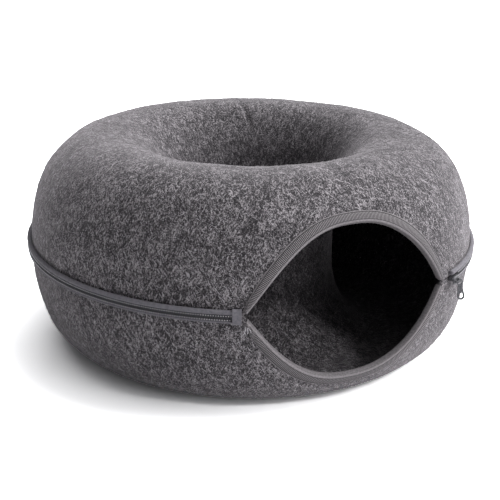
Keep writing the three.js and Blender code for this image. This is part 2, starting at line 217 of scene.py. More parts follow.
def rounded_quarter(centre, reach, fullness, from_side):
    """A quarter of a rounded oval. A fullness of 2 is an ellipse, and more is squarer."""
    turn = np.linspace(0, math.pi / 2, QUARTER_STEPS)
    if not from_side:
        turn = turn[::-1]
    across = np.cos(turn).clip(0, 1) ** (2 / fullness)
    up = np.sin(turn).clip(0, 1) ** (2 / fullness)
    return np.column_stack((centre[0] + reach[0] * across, centre[1] + reach[1] * up))


def half_of_ring(outward, door_reach, *stretches):
    """The line that a half's outside follows, with the distance along it from the zip."""
    line = np.vstack(stretches)
    step = np.linalg.norm(np.diff(line, axis=0), axis=1)
    line = line[np.append(True, step > 1e-7)]
    run = np.append(0, np.cumsum(np.linalg.norm(np.diff(line, axis=0), axis=1)))
    along = np.gradient(line, run, axis=0)
    return SimpleNamespace(
        line=line, run=run, along=along, length=run[-1], outward=outward, door_reach=door_reach,
    )


upper = half_of_ring(
    1,
    DOOR_RISE,
    rounded_quarter(
        (CREST_RADIUS, ZIP_HEIGHT),
        (RING_RADIUS - CREST_RADIUS, HEIGHT - ZIP_HEIGHT),
        UPPER_FULLNESS,
        True,
    ),
    rounded_quarter(
        (CREST_RADIUS, THROAT_TOP),
        (HOLE_RADIUS - CREST_RADIUS, HEIGHT - THROAT_TOP),
        HOLE_FULLNESS,
        False,
    ),
    np.array([(HOLE_RADIUS, SEAM_HEIGHT + SEAM_GAP)]),
)
lower = half_of_ring(
    -1,
    DOOR_DIP,
    rounded_quarter(
        (FOOT_OUTER_RADIUS, ZIP_HEIGHT),
        (RING_RADIUS - FOOT_OUTER_RADIUS, -ZIP_HEIGHT),
        LOWER_FULLNESS,
        True,
    ),
    rounded_quarter(
        (FOOT_INNER_RADIUS, THROAT_BOTTOM),
        (HOLE_RADIUS - FOOT_INNER_RADIUS, -THROAT_BOTTOM),
        HOLE_FULLNESS,
        False,
    ),
    np.array([(HOLE_RADIUS, SEAM_HEIGHT - SEAM_GAP)]),
)


def lens(angle, half_angle, point):
    """Half of the entrance's outline, from 1 in its middle to 0 at its corners."""
    share = np.minimum(np.abs(angle) / half_angle, 1)
    return (1 - share ** DOOR_SQUARENESS) ** point


def edge_run(half, angle):
    """How far the felt's cut edge lies from the zip's line."""
    return RIM_GAP + half.door_reach * lens(angle, DOOR_HALF_ANGLE, DOOR_POINT)


def round_ring(angle, radius, height):
    """Places by angle in degrees from the middle of the entrance, growing towards +X."""
    turn = np.radians(angle)
    return np.column_stack((
        ring_middle.x + radius * np.sin(turn),
        ring_middle.y - radius * np.cos(turn),
        height,
    ))


def on_felt(half, angle, run, lift):
    """Places at a run along the felt from the zip and a lift above its outside."""
    radius = np.interp(run, half.run, half.line[:, 0])
    height = np.interp(run, half.run, half.line[:, 1])
    along_radius = np.interp(run, half.run, half.along[:, 0])
    along_height = np.interp(run, half.run, half.along[:, 1])
    length = np.hypot(along_radius, along_height)
    radius = radius + along_height / length * lift * half.outward
    height = height - along_radius / length * lift * half.outward
    return round_ring(angle, radius, height)


def lay(bm, place):
    """Lays each vertex of a flat blank in its place on the cave."""
    flat = np.array([vert.co for vert in bm.verts])
    for vert, laid in zip(bm.verts, place(*flat.T)):
        vert.co = laid


WELD_DISTANCE = 1e-6


def weld(bm):
    """Merges vertices in one place and turns the normals outward."""
    bmesh.ops.remove_doubles(bm, verts=bm.verts, dist=WELD_DISTANCE)
    bmesh.ops.recalc_face_normals(bm, faces=bm.faces)


def piece_from(bm, name, material, slot, *nodes):
    """Turns a finished bmesh into a smooth piece that rides on the cave."""
    mesh = bpy.data.meshes.new(name)
    bm.to_mesh(mesh)
    bm.free()
    mesh.shade_smooth()
    mesh.materials.append(material)
    piece = in_scene(name, mesh)
    if nodes:
        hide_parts(*nodes)
    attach(piece, "root")
    return piece


class Wire:
    """One output of a material's nodes. Arithmetic on numbers adds Math nodes."""

    def __init__(self, tree, socket=None):
        self.tree = tree
        self.socket = socket

    def node(self, kind, settings=None, sockets=None, output=0):
        made = self.tree.nodes.new("ShaderNode" + kind)
        for name, value in (settings or {}).items():
            if name == "stops":
                ramp = made.color_ramp.elements
                while len(ramp) < len(value):
                    ramp.new(0.5)
                for element, (place, colour) in zip(ramp, value):
                    element.position = place
                    element.color = (*colour, 1)
            else:
                setattr(made, name, value)
        for name, value in (sockets or {}).items():
            if isinstance(value, Wire):
                self.tree.links.new(value.socket, made.inputs[name])
            else:
                made.inputs[name].default_value = value
        return Wire(self.tree, made.outputs[output])

    def math(self, operation, *values):
        return self.node("Math", {"operation": operation}, dict(enumerate(values)))

    def __add__(self, other):
        return self.math("ADD", self, other)

    def __sub__(self, other):
        return self.math("SUBTRACT", self, other)

    def __rsub__(self, other):
        return self.math("SUBTRACT", other, self)

    def __mul__(self, other):
        return self.math("MULTIPLY", self, other)

    __radd__ = __add__
    __rmul__ = __mul__


def noise_on(place, scale, detail=0.0, roughness=0.5, distortion=0.0):
    return place.node("TexNoise", None, {
        "Vector": place,
        "Scale": scale,
        "Detail": detail,
        "Roughness": roughness,
        "Distortion": distortion,
    })


SHEEN_TINT = (1.0, 0.95, 1.0, 1.0)


def finish_of(name, metallic=0.0, sheen=0.0, sheen_roughness=0.5, specular=0.5):
    """A new material, with a wire to build its nodes from and its shader."""
    material = bpy.data.materials.new(name)
    material.use_nodes = True
    shader = material.node_tree.nodes["Principled BSDF"]
    shader.inputs["Metallic"].default_value = metallic
    shader.inputs["Sheen Weight"].default_value = sheen
    shader.inputs["Sheen Roughness"].default_value = sheen_roughness
    shader.inputs["Sheen Tint"].default_value = SHEEN_TINT
    shader.inputs["Specular IOR Level"].default_value = specular
    return material, Wire(material.node_tree), shader


def feed(shader, name, value):
    """Joins a worked-out value to one of the shader's sockets."""
    if isinstance(value, Wire):
        value.tree.links.new(value.socket, shader.inputs[name])
    else:
        shader.inputs[name].default_value = value


FELT_DARK = (0.021, 0.020, 0.022)
FELT_MID = (0.078, 0.072, 0.078)
FELT_PALE = (0.310, 0.291, 0.308)
STRAND_SCALE = 700.0
STRAND_STEP = 0.0011
STRAND_COUNT = 5
STRAND_WANDER = 3.2
STRAND_CONTRAST = 4.4
STRAND_LAYERS = [
    # lean to one side, shift of the pattern
    (0.35, 0.0),
    (-0.6, 0.37),
]
CLUMPS = {"scale": 430.0, "detail": 2.5, "roughness": 0.66, "distortion": 0.6}
GRAIN = {"scale": 1250.0}
PATCHES = {"scale": 38.0, "detail": 2.0}
TUFTS = {"scale": 150.0, "detail": 1.0}
SPECKS = {"scale": 760.0}
SHARES = SimpleNamespace(fibres=1.35, clumps=2.1, grain=1.6, patches=0.5, tufts=0.7, specks=0.45)
CALM_IN_HOLE = {"From Min": 0.1, "From Max": 0.15, "To Min": 0.65, "To Max": 1.0}


def felt_finish():
    """Needled felt: short fibres that cross each other over soft dark and pale patches."""
    material, wire, shader = finish_of("felt", sheen=0.38, sheen_roughness=0.38, specular=0.1)
    place = wire.node("TexCoord", output="Object")
    out = wire.node("NewGeometry", output="Normal")
    from_middle = wire.node(
        "VectorMath", {"operation": "SUBTRACT"}, {0: place, 1: (0, ring_middle.y, 0)},
    )
    round_it = wire.node(
        "VectorMath", {"operation": "CROSS_PRODUCT"}, {0: (0, 0, 1), 1: from_middle},
    )
    from_axis = wire.node("VectorMath", {"operation": "LENGTH"}, {0: round_it}, output="Value")
    round_it = wire.node("VectorMath", {"operation": "NORMALIZE"}, {0: round_it})
    over = wire.node("VectorMath", {"operation": "CROSS_PRODUCT"}, {0: out, 1: round_it})
    wander = noise_on(place, 70.0, detail=1.0)
    layers = []
    for side, shift in STRAND_LAYERS:
        lean = (wander - 0.5) * STRAND_WANDER + side
        sideways = wire.node("VectorMath", {"operation": "SCALE"}, {0: round_it, "Scale": lean})
        combed = wire.node("VectorMath", {"operation": "ADD"}, {0: over, 1: sideways})
        combed = wire.node("VectorMath", {"operation": "NORMALIZE"}, {0: combed})
        start = wire.node("VectorMath", {"operation": "ADD"}, {0: place, 1: (shift, shift, shift)})
        fibres = 0.0
        for step in range(STRAND_COUNT):
            far = STRAND_STEP * (step - (STRAND_COUNT - 1) / 2)
            moved = wire.node("VectorMath", {"operation": "SCALE"}, {0: combed, "Scale": far})
            moved = wire.node("VectorMath", {"operation": "ADD"}, {0: start, 1: moved})
            fibres = noise_on(moved, STRAND_SCALE, detail=1.5, roughness=0.6) + fibres
        layers.append((fibres * (1 / STRAND_COUNT) - 0.5) * STRAND_CONTRAST + 0.5)
    fibres = wire.math("MAXIMUM", *layers)
    clumps = noise_on(place, **CLUMPS)
    grain = noise_on(place, **GRAIN)
    patches = noise_on(place, **PATCHES)
    tufts = noise_on(place, **TUFTS)
    specks = noise_on(place, **SPECKS)
    specks = wire.node("MapRange", None, {"Value": specks, "From Min": 0.68, "From Max": 0.78})
    calm = wire.node("MapRange", None, {"Value": from_axis, **CALM_IN_HOLE})
    mottle = (
        (fibres - 0.68) * SHARES.fibres
        + (clumps - 0.5) * SHARES.clumps
        + (grain - 0.5) * SHARES.grain
        + (patches - 0.5) * SHARES.patches
        + (tufts - 0.5) * SHARES.tufts
        + specks * SHARES.specks
    )
    colour = wire.node(
        "ValToRGB",
        {"stops": [(0.05, FELT_DARK), (0.5, FELT_MID), (1.0, FELT_PALE)]},
        {"Fac": mottle * calm + 0.5},
    )
    relief = wire.node(
        "Bump", None,
        {"Height": (fibres * 0.4 + clumps + grain * 0.4) * calm, "Strength": 0.7, "Distance": 0.0012},
    )
    feed(shader, "Base Color", colour)
    feed(shader, "Roughness", 0.95)
    feed(shader, "Normal", relief)
    return material


felt = felt_finish()


def felt_half(name, node, half):
    """A flat grid with crowded columns at the entrance, moulded on to the half's line."""
    columns = DOOR_COLUMNS + WALL_COLUMNS
    bm = bmesh.new()
    bmesh.ops.create_grid(bm, x_segments=columns, y_segments=FELT_ROWS, size=0.5)

    def mould(x, y, _):
        column = np.round(x * columns)
        beside = np.minimum(np.abs(column) / (DOOR_COLUMNS / 2), 1)
        at_door = DOOR_HALF_ANGLE * np.sin(CROWDING * beside) / math.sin(CROWDING)
        past = np.maximum(np.abs(column) - DOOR_COLUMNS / 2, 0) / (WALL_COLUMNS / 2)
        angle = np.sign(column) * (at_door + past * (180 - DOOR_HALF_ANGLE))
        edge = edge_run(half, angle)
        run = edge + (half.length - edge) * (y + 0.5)
        return on_felt(half, angle, run, slump(half, angle, run))

    lay(bm, mould)
    weld(bm)
    piece = piece_from(bm, name, felt, "felt", node)
    wall = piece.modifiers.new("felt thickness", "SOLIDIFY")
    wall.thickness = FELT_THICKNESS
    wall.offset = -1


SLUMP_DEPTH = 0.0011
SLUMP_SIZE = 0.055
FINE_SLUMP = 2.7
FINE_SHARE = 0.4
SLUMP_START = 0.008
SLUMP_FLOOR = 0.004
SLUMP_FREE = 0.03
CREASE_LINE = [
    # run along the felt, angle
    (0.168, 163.0),
    (0.183, 160.7),
    (0.197, 158.8),
    (0.214, 156.9),
    (0.232, 155.6),
]
CREASE_DEPTH = 0.003
CREASE_HALF_WIDTH = 0.0028


def slump(half, angle, run):
    """The felt's slight unevenness, which fades out at the zip, the foot and the seam."""
    places = on_felt(half, angle, run, np.zeros_like(run))
    wave = np.array([noise.noise(Vector(place) / SLUMP_SIZE) for place in places])
    fine = np.array([noise.noise(Vector(place) / SLUMP_SIZE * FINE_SLUMP) for place in places])
    free = np.clip((run - SLUMP_START) / SLUMP_FREE, 0, 1)
    free = free * np.clip((half.length - run) / SLUMP_FREE, 0, 1)
    if half is lower:
        free = free * np.clip((places[:, 2] - SLUMP_FLOOR) / SLUMP_FREE, 0, 1)
    lift = (wave + FINE_SHARE * fine) * SLUMP_DEPTH * free
    if half is upper:
        crease = np.array(CREASE_LINE)
        beside = np.radians(angle - np.interp(run, crease[:, 0], crease[:, 1]))
        beside = beside * np.hypot(places[:, 0], places[:, 1] - ring_middle.y)
        ends = (run - crease[0, 0]) / (crease[-1, 0] - crease[0, 0])
        shut = np.sin(np.pi * np.clip(ends, 0, 1)) ** 0.5
        lift = lift - CREASE_DEPTH * shut * np.exp(-((beside / CREASE_HALF_WIDTH) ** 2))
    return lift


felt_half("felt_upper_half", "upper_shell", upper)
felt_half("felt_lower_half", "lower_shell", lower)

# ---------------------------------------------------------------------------------------------
# The binding of the entrance: ribbed polyester tape about 27 mm wide, folded over the felt's cut
# edge and sewn through near its edge. One length goes over the arch and one under the dip.

BINDING_WIDTH = 0.0105
BINDING_HALF_ANGLE = 26.8
BINDING_POINT = 0.85
BINDING_END = 25.75
BINDING_THICKNESS = 0.0011
BINDING_GAP = 0.00035
RIB_PITCH = 0.0016
RIB_DEPTH = 0.0002
COLUMNS_A_RIB = 5
FOLD_ROWS = 30
PUCKER_PITCH = 0.0085
PUCKER_SLANT = 0.6
PUCKER_DEPTH = 0.0018
PUCKER_REACH = 0.016


# The tape's outside, from its sewn edge outside, over the fold, to its sewn edge inside. Across
# is a share of the width from the felt's edge, and past the edge a distance in metres.
OUTER = BINDING_GAP + BINDING_THICKNESS
INNER = -FELT_THICKNESS - OUTER
FOLD = [
    # across, lift
    (1.00, OUTER - 0.0003),
    (0.90, OUTER - 0.0004),
    (0.86, OUTER - 0.0006),
    (0.80, OUTER - 0.0001),
    (0.55, OUTER + 0.0004),
    (0.25, OUTER + 0.0004),
    (0.00, OUTER),
    (-0.0009, OUTER - 0.0006),
    (-OUTER, -0.0006),
    (-OUTER, -FELT_THICKNESS + 0.0006),
    (-0.0009, INNER + 0.0006),
    (0.00, INNER),
    (0.50, INNER - 0.0002),
    (1.00, INNER + 0.0002),
]


NARROWEST = 0.0005
ROUTE_STEPS = 1200


def binding_width(half, angle):
    reach = half.door_reach + BINDING_WIDTH
    sewn = reach * lens(angle, BINDING_HALF_ANGLE, BINDING_POINT)
    return np.maximum(sewn - edge_run(half, angle), NARROWEST)


def binding_route(half):
    """Angles along the felt's cut edge, with the true distance along it from one end."""
    angle = np.linspace(-BINDING_END, BINDING_END, ROUTE_STEPS)
    beside = np.radians(angle) * RING_RADIUS
    run = edge_run(half, angle)
    length = np.append(0, np.cumsum(np.hypot(np.diff(beside), np.diff(run))))
    slope = np.gradient(run, beside)
    return SimpleNamespace(angle=angle, slope=slope, length=length)


def on_binding(half, route, along, across, lift):
    """Places on the binding. Across is square to the felt's edge, as the tape's ribs are."""
    angle = np.interp(along, route.length, route.angle)
    slope = np.interp(along, route.length, route.slope)
    stretch = np.hypot(1, slope)
    offset = np.where(across > 0, across * binding_width(half, angle), across * stretch)
    angle = angle - np.degrees(offset * slope / stretch ** 2 / RING_RADIUS)
    offset = np.where(across > 0, across * binding_width(half, angle), across * stretch)
    return on_felt(half, angle, edge_run(half, angle) + offset, lift)


TAPE_DARK = (0.022, 0.020, 0.022)
TAPE_PALE = (0.275, 0.254, 0.268)
WEAVE_PITCH = 0.0008
SEWN_GROOVE = 0.0013
GROOVE_HALF_WIDTH = 0.0004
LIP_GROOVE_HALF_WIDTH = 0.0003
LIP_START = 0.0094
LIP_END = 0.0120
LIP_ON_FELT = -0.001
# How much each mark moves the tape's shade. The gaps between ribs and the two grooves are painted
# darker: painted shade in these hollows.
TAPE_SHADE = 0.33
RIB_SHADE = 1.5
WEAVE_SHADE = 0.6
PAINTED_RIB_GAP_SHADE = 1.15
PAINTED_GROOVE_DARKENING = 0.5
LIP_SHADE = 0.28


def ribbed_finish():
    """Ribbed tape: pale ribs with painted shade between them and in its grooves, and a plain lip along
    each side.
    """
    material, wire, shader = finish_of("ribbed_tape", sheen=0.1, sheen_roughness=0.4, specular=0.3)
    place = wire.node("UVMap", {"uv_map": "tape"})
    along = wire.node("SeparateXYZ", None, {"Vector": place}, output="X")
    across = wire.node("SeparateXYZ", None, {"Vector": place}, output="Y")

    def band(start, end, soft=0.0003):
        rise = wire.node(
            "MapRange", {"interpolation_type": "SMOOTHSTEP"},
            {"Value": across, "From Min": start - soft, "From Max": start + soft},
        )
        fall = wire.node(
            "MapRange", {"interpolation_type": "SMOOTHSTEP"},
            {"Value": across, "From Min": end - soft, "From Max": end + soft},
        )
        return rise * (1 - fall)

    # Paler on each rib and darker between ribs: painted shade in the gaps between the ribs.
    rib = wire.math("COSINE", along * (2 * math.pi / RIB_PITCH)) * 0.5 + 0.5
    weave = wire.math("SINE", across * (2 * math.pi / WEAVE_PITCH)) * 0.5 + 0.5
    worn = noise_on(place, 520.0, detail=3.0, roughness=0.65)
    groove_start = SEWN_GROOVE - GROOVE_HALF_WIDTH
    groove_end = SEWN_GROOVE + GROOVE_HALF_WIDTH
    body = band(groove_end, LIP_START)
    # Painted shade: darker lines in the sewn groove and in the groove inside the fold lip.
    painted_groove_shade = band(LIP_START - LIP_GROOVE_HALF_WIDTH, LIP_START + LIP_GROOVE_HALF_WIDTH)
    painted_groove_shade = band(groove_start, groove_end) + painted_groove_shade
    lip = band(LIP_START + LIP_GROOVE_HALF_WIDTH, LIP_END) + band(LIP_ON_FELT, groove_start)
    shade = (rib * (RIB_SHADE + weave * WEAVE_SHADE) - PAINTED_RIB_GAP_SHADE) * body + (worn - 0.5) + TAPE_SHADE
    shade = shade - painted_groove_shade * PAINTED_GROOVE_DARKENING + lip * LIP_SHADE
    colour = wire.node("ValToRGB", {"stops": [(0.0, TAPE_DARK), (1.0, TAPE_PALE)]}, {"Fac": shade})
    relief = wire.node(
        "Bump", None,
        {"Height": (rib + weave * 0.5) * body + worn, "Strength": 0.5, "Distance": 0.0003},
    )
    feed(shader, "Base Color", colour)
    feed(shader, "Roughness", worn * 0.3 + 0.6)
    feed(shader, "Normal", relief)
    return material


ribbed_tape = ribbed_finish()


def map_tape(bm, layout):
    """Gives each corner a place on the flat tape in metres, from its vertex's place in the blank."""
    tape = bm.loops.layers.uv.new("tape")
    for face in bm.faces:
        for loop in face.loops:
            loop[tape].uv = layout(loop.vert.co)


def folded_binding(name, node, half):
    route = binding_route(half)
    length = route.length[-1]
    ribs = round(length / RIB_PITCH)
    columns = ribs * COLUMNS_A_RIB
    path = np.array(FOLD)
    knots = np.linspace(0, 1, len(path))
    bm = bmesh.new()
    bmesh.ops.create_grid(bm, x_segments=columns, y_segments=FOLD_ROWS, size=0.5)
    reach = np.where(path[:, 0] > 0, path[:, 0] * BINDING_WIDTH, path[:, 0])
    step = np.hypot(np.diff(reach), np.diff(path[:, 1]))
    travel = np.append(0, np.cumsum(step))
    map_tape(
        bm, lambda flat: ((flat.x + 0.5) * ribs * RIB_PITCH, np.interp(flat.y + 0.5, knots, travel)),
    )

    def over_edge(x, y, _):
        along = (x + 0.5) * length
        across = np.interp(y + 0.5, knots, path[:, 0])
        lift = np.interp(y + 0.5, knots, path[:, 1])
        rib = 0.5 + 0.5 * np.cos(along / length * ribs * 2 * math.pi)
        side = np.where(lift > -FELT_THICKNESS / 2, 1, -1)
        lift = lift + side * rib * RIB_DEPTH
        if half is lower:
            fold = 0.5 + 0.5 * np.sin(2 * math.pi * (along / PUCKER_PITCH - across * PUCKER_SLANT))
            lift = lift + (side > 0) * PUCKER_DEPTH * fold * np.exp(-((along / PUCKER_REACH) ** 2))
        return on_binding(half, route, along, across, lift)

    lay(bm, over_edge)
    weld(bm)
    piece = piece_from(bm, name, ribbed_tape, "ribbed_tape", node)
    tape = piece.modifiers.new("tape thickness", "SOLIDIFY")
    tape.thickness = BINDING_THICKNESS
    tape.offset = -1


folded_binding("binding_arch", "upper_binding", upper)
folded_binding("binding_dip", "lower_binding", lower)

# ---------------------------------------------------------------------------------------------
# The zip's two tapes: close woven polyester, folded to a narrow roll and sewn along the rim of
# each felt half, from one corner of the entrance round the back to the other.

TAPE_START = 0.00295
UPPER_TAPE_END = 0.0074
LOWER_TAPE_END = 0.0056
UPPER_TAPE_TOP = 0.00525
LOWER_TAPE_TOP = 0.00465
TAPE_SEAT = 0.00035
UPPER_TAPE_START = 29.6
LOWER_TAPE_START = 33.0
ZIP_END = 332.9
TAPE_STEPS = 620
TAPE_ROWS = 18
TAPE_FULLNESS = 2.4


def on_zip(angle, up, lift):
    """Places beside the zip, where the felt is upright, by height above the zip's line."""
    return round_ring(angle, RING_RADIUS + lift, ZIP_HEIGHT + up)


def close_ends(bm):
    """Fills the open ends of a rolled-up blank."""
    ends = [edge for edge in bm.edges if edge.is_boundary]
    bmesh.ops.holes_fill(bm, edges=ends)
    bmesh.ops.recalc_face_normals(bm, faces=bm.faces)


THREAD_DARK = (0.055, 0.053, 0.062)
THREAD_PALE = (0.205, 0.196, 0.222)


def zip_tape_finish():
    """Close woven tape: a fine slanting weave, a little worn."""
    material, wire, shader = finish_of("zip_tape", sheen=0.15, specular=0.35)
    place = wire.node("UVMap", {"uv_map": "tape"})
    along = wire.node("SeparateXYZ", None, {"Vector": place}, output="X")
    across = wire.node("SeparateXYZ", None, {"Vector": place}, output="Y")
    twill = wire.math("SINE", (along + across) * (2 * math.pi / WEAVE_PITCH)) * 0.5 + 0.5
    worn = noise_on(place, 300.0, detail=3.0, roughness=0.6)
    shade = twill * 0.3 + (worn - 0.5) * 1.2 + 0.3
    colour = wire.node(
        "ValToRGB", {"stops": [(0.0, THREAD_DARK), (1.0, THREAD_PALE)]}, {"Fac": shade},
    )
    relief = wire.node("Bump", None, {"Height": twill, "Strength": 0.3, "Distance": 0.0002})
    feed(shader, "Base Color", colour)
    feed(shader, "Roughness", 0.8)
    feed(shader, "Normal", relief)
    return material


zip_tape = zip_tape_finish()


def rolled(y, fullness):
    """Sideways and outward shares round a rolled section, for y from -0.5 to 0.5."""
    turn = y * 2 * math.pi
    side = np.sign(np.sin(turn)) * np.abs(np.sin(turn)) ** (2 / fullness)
    out = np.sign(np.cos(turn)) * np.abs(np.cos(turn)) ** (2 / fullness)
    return side, out


def folded_tape(name, node, up, start, end, top):
    """A tape's roll: a flat seat on the felt and a rounded outside."""
    middle = (TAPE_START + end) / 2
    half_width = (end - TAPE_START) / 2
    half_height = (top - TAPE_SEAT) / 2
    length = math.radians(ZIP_END - start) * RING_RADIUS
    bm = bmesh.new()
    bmesh.ops.create_grid(bm, x_segments=TAPE_STEPS, y_segments=TAPE_ROWS, size=0.5)
    map_tape(bm, lambda flat: ((flat.x + 0.5) * length, flat.y * 4 * (half_width + half_height)))

    def roll(x, y, _):
        angle = start + (x + 0.5) * (ZIP_END - start)
        side, out = rolled(y, TAPE_FULLNESS)
        lift = TAPE_SEAT + half_height * (1 + out)
        return on_zip(angle, up * (middle + half_width * side), lift)

    lay(bm, roll)
    weld(bm)
    close_ends(bm)
    piece = piece_from(bm, name, zip_tape, "zip_tape", node)


folded_tape(
    "tape_above_zip",
    "zip_tape_upper",
    1,
    UPPER_TAPE_START,
    UPPER_TAPE_END,
    UPPER_TAPE_TOP,
)
folded_tape(
    "tape_below_zip",
    "zip_tape_lower",
    -1,
    LOWER_TAPE_START,
    LOWER_TAPE_END,
    LOWER_TAPE_TOP,
)

# ---------------------------------------------------------------------------------------------
# The closed zip chain: two interlocked coils of nylon wire on a narrow dark band, each turn held
# down by a stitch of pale thread. It starts behind the slider.

COIL_PITCH = 0.00235
COIL_START = 32.85
COIL_WIRE = 0.00042
COIL_TURN = [
    # along, up from the zip's line, lift
    (0.0, 0.0023, 0.0029),
    (0.0, 0.0021, 0.0040),
    (0.0001, 0.0012, 0.0043),
    (0.0003, 0.0001, 0.0040),
    (0.0004, -0.0004, 0.0030),
]
BAND_HALF_WIDTH = 0.0026
BAND_TOP = 0.0029
BAND_ROWS = 8
BAND_FULLNESS = 4

chain_length = math.radians(ZIP_END - COIL_START) * RING_RADIUS
coil_turns = int(chain_length / COIL_PITCH)


def in_a_row(bm, count, pitch):
    """Repeats a small part along x and gives the whole row back as a bmesh."""
    mesh = bpy.data.meshes.new("row")
    bm.to_mesh(mesh)
    bm.free()
    holder = in_scene("row", mesh)
    array = holder.modifiers.new("row", "ARRAY")
    array.count = count
    array.use_relative_offset = False
    array.use_constant_offset = True
    array.constant_offset_displace = (pitch, 0, 0)
    bpy.context.view_layer.update()
    row = bmesh.new()
    row.from_object(holder, bpy.context.evaluated_depsgraph_get())
    bpy.data.objects.remove(holder)
    bpy.data.meshes.remove(mesh)
    return row


def join_to(whole, part):
    """Adds a finished bmesh to another."""
    mesh = bpy.data.meshes.new("part")
    part.to_mesh(mesh)
    part.free()
    whole.from_mesh(mesh)
    bpy.data.meshes.remove(mesh)


def draw_out(bm, edges, stops):
    """Draws a ring of edges out into a tube past each stop of its middle."""
    for here, there in zip(stops[:-1], stops[1:]):
        moved = bmesh.ops.extrude_edge_only(bm, edges=edges)["geom"]
        verts = [part for part in moved if isinstance(part, bmesh.types.BMVert)]
        edges = [part for part in moved if isinstance(part, bmesh.types.BMEdge)]
        bmesh.ops.translate(bm, verts=verts, vec=Vector(there) - Vector(here))


def along_zip(x, up, lift):
    return on_zip(COIL_START + np.degrees(x / RING_RADIUS), up, lift)


def coil_turn(up, start):
    """One turn of wire: up from the band, over towards the middle and down at its head."""
    bm = bmesh.new()
    stops = [Vector((start + x, up * y, z)) for x, y, z in COIL_TURN]
    wire = bmesh.ops.create_circle(bm, segments=6, radius=COIL_WIRE)["verts"]
    bmesh.ops.rotate(bm, verts=wire, cent=(0, 0, 0), matrix=Matrix.Rotation(math.pi / 2, 3, "X"))
    bmesh.ops.translate(bm, verts=wire, vec=stops[0])
    draw_out(bm, list(bm.edges), stops)
    close_ends(bm)
    return bm


def mottled_finish(name, scale, detail, dark, pale, **looks):
    """A finish that wanders between two shades, each given as a stop with its colour."""
    material, wire, shader = finish_of(name, **looks)
    worn = noise_on(wire.node("TexCoord", output="Object"), scale, detail=detail)
    feed(shader, "Base Color", wire.node("ValToRGB", {"stops": [dark, pale]}, {"Fac": worn}))
    return material, worn, shader


def nylon_finish():
    """Dark nylon wire with a soft shine, a little uneven in shade."""
    dark = (0.3, (0.022, 0.022, 0.026))
    pale = (0.75, (0.075, 0.075, 0.084))
    material, worn, shader = mottled_finish("coil_nylon", 500.0, 2.0, dark, pale, specular=0.5)
    feed(shader, "Roughness", worn * 0.3 + 0.35)
    return material


coil_nylon = nylon_finish()

chain = bmesh.new()
bmesh.ops.create_grid(chain, x_segments=TAPE_STEPS, y_segments=BAND_ROWS, size=0.5)


def roll_band(x, y, _):
    side, out = rolled(y, BAND_FULLNESS)
    lift = TAPE_SEAT + (BAND_TOP - TAPE_SEAT) / 2 * (1 + out)
    return along_zip((x + 0.5) * chain_length, BAND_HALF_WIDTH * side, lift)


lay(chain, roll_band)
weld(chain)
close_ends(chain)
for up, start in ((1, COIL_PITCH * 0.25), (-1, COIL_PITCH * 0.75)):
    turns = in_a_row(coil_turn(up, start), coil_turns, COIL_PITCH)
    lay(turns, along_zip)
    join_to(chain, turns)
piece_from(chain, "zip_coils", coil_nylon, "coil_nylon", "zip_chain")


STITCH_UP = 0.00205
STITCH_BEAD = (0.00052, 0.0006, 0.0006)
STITCH_TOP = 0.0046


def pale_thread_finish():
    """Pale polyester sewing thread, which takes the light a little more than the tape."""
    dark = (0.3, (0.40, 0.39, 0.42))
    pale = (0.7, (0.66, 0.64, 0.68))
    looks = {"sheen": 0.2, "specular": 0.4}
    material, _, shader = mottled_finish("pale_thread", 380.0, 2.0, dark, pale, **looks)
    feed(shader, "Roughness", 0.6)
    return material


pale_thread = pale_thread_finish()

stitches = bmesh.new()
for up, start in ((1, COIL_PITCH * 0.75), (-1, COIL_PITCH * 0.25)):
    bead = bmesh.new()
    bmesh.ops.create_uvsphere(bead, u_segments=8, v_segments=5, radius=1)
    bmesh.ops.scale(bead, verts=bead.verts, vec=STITCH_BEAD)
    bmesh.ops.translate(bead, verts=bead.verts, vec=(start, up * STITCH_UP, STITCH_TOP))
    row = in_a_row(bead, coil_turns, COIL_PITCH)
    lay(row, along_zip)
    join_to(stitches, row)
piece_from(stitches, "zip_stitches", pale_thread, "coil_nylon")

# ---------------------------------------------------------------------------------------------
# The patch over the zip's end, at the entrance's left corner: a short piece of the zip's tape,
# folded over the chain and both tapes and sewn down on each side.

TAB_START = 331.3
TAB_END = 333.3
TAB_THICKNESS = 0.001
TAB_COLUMNS = 24
TAB_ROWS = 40
TAB_GIRTH = 0.028
TAB_WEAVE_PITCH = 0.0013
TAB_WEAVE_DEPTH = 0.00006
TAB_DRAWN_IN = 0.05
TAB_SEWN = 0.005
TAB_TOP = 0.0064
TAB_OVER = [
    # up, lift
    (0.00845, 0.0012),
    (0.00845, 0.0038),
    (0.00780, 0.0058),
    (0.00600, TAB_TOP),
    (0.00250, TAB_TOP - 0.0002),
    (0.00000, TAB_TOP - 0.0005),
    (-0.00250, TAB_TOP - 0.0003),
    (-0.00450, TAB_TOP - 0.0002),
    (-0.00620, 0.0056),
    (-0.00695, 0.0036),
    (-0.00695, 0.0012),
]

tab = bmesh.new()
bmesh.ops.create_grid(tab, x_segments=TAB_COLUMNS, y_segments=TAB_ROWS, size=0.5)
tab_length = math.radians(TAB_END - TAB_START) * RING_RADIUS
map_tape(tab, lambda flat: (flat.y * TAB_GIRTH, flat.x * tab_length))


def over_zip(x, y, _):
    path = np.array(TAB_OVER)
    knots = np.linspace(0, 1, len(path))
    up = np.interp(0.5 - y, knots, path[:, 0])
    lift = np.interp(0.5 - y, knots, path[:, 1])
    grain = TAB_WEAVE_DEPTH * np.cos(x * tab_length * 2 * math.pi / TAB_WEAVE_PITCH)
    drawn_in = 1 - TAB_DRAWN_IN * np.cos(x * 2 * math.pi) * (np.abs(up) > TAB_SEWN)
    return on_zip(TAB_START + (x + 0.5) * (TAB_END - TAB_START), up * drawn_in, lift + grain)


